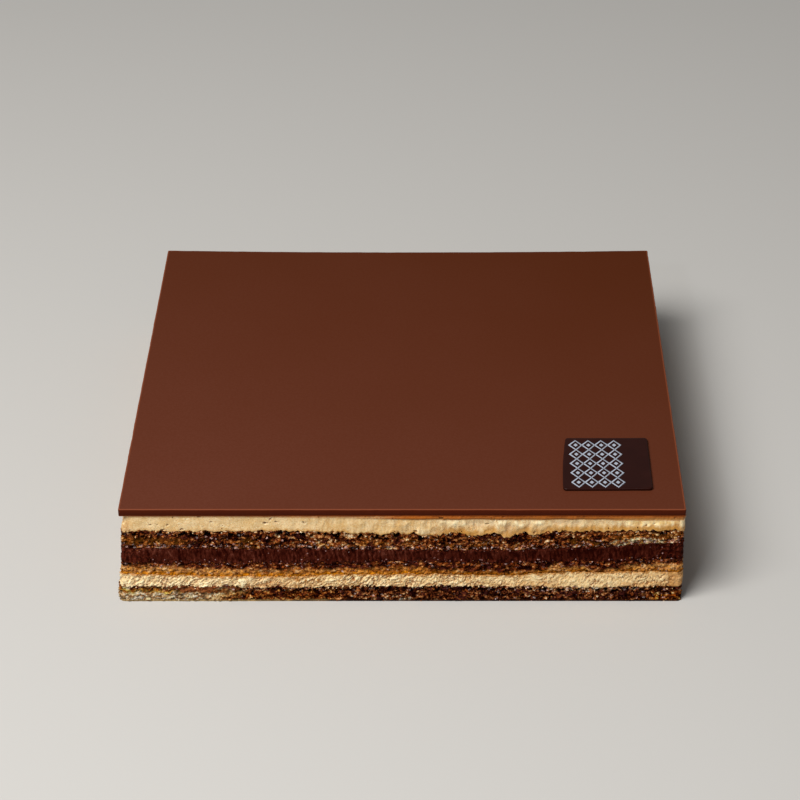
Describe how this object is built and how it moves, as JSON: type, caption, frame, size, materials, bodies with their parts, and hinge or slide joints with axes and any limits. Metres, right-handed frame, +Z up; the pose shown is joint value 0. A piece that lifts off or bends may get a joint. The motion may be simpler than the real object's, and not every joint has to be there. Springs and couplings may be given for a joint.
{
  "type": "opera cake",
  "caption": "Square layered cake of soaked almond sponge, coffee buttercream and chocolate ganache under a flat chocolate glaze, with a small dark chocolate plaque on top.",
  "frame": {"origin": "middle of the underside, on the surface that the cake stands on", "axes": "+Z up, the front cut face looks along -Y, the plaque lies near the +X, -Y corner"},
  "size_m": [0.161, 0.1609, 0.0318],
  "materials": {
    "soaked_sponge": "matte",
    "coffee_buttercream": "satin",
    "dark_ganache": "satin",
    "chocolate_glaze": "satin",
    "dark_chocolate": "gloss",
    "cocoa_butter_print": "satin",
    "coffee_syrup": "gloss"
  },
  "bodies": {
    "root": {"joconde_lower": "soaked_sponge", "buttercream_lower": "coffee_buttercream", "joconde_middle": "soaked_sponge", "ganache": "dark_ganache", "joconde_upper": "soaked_sponge", "buttercream_upper": "coffee_buttercream", "chocolate_glaze": "chocolate_glaze", "chocolate_plaque": "dark_chocolate"}
  },
  "joints": []
}
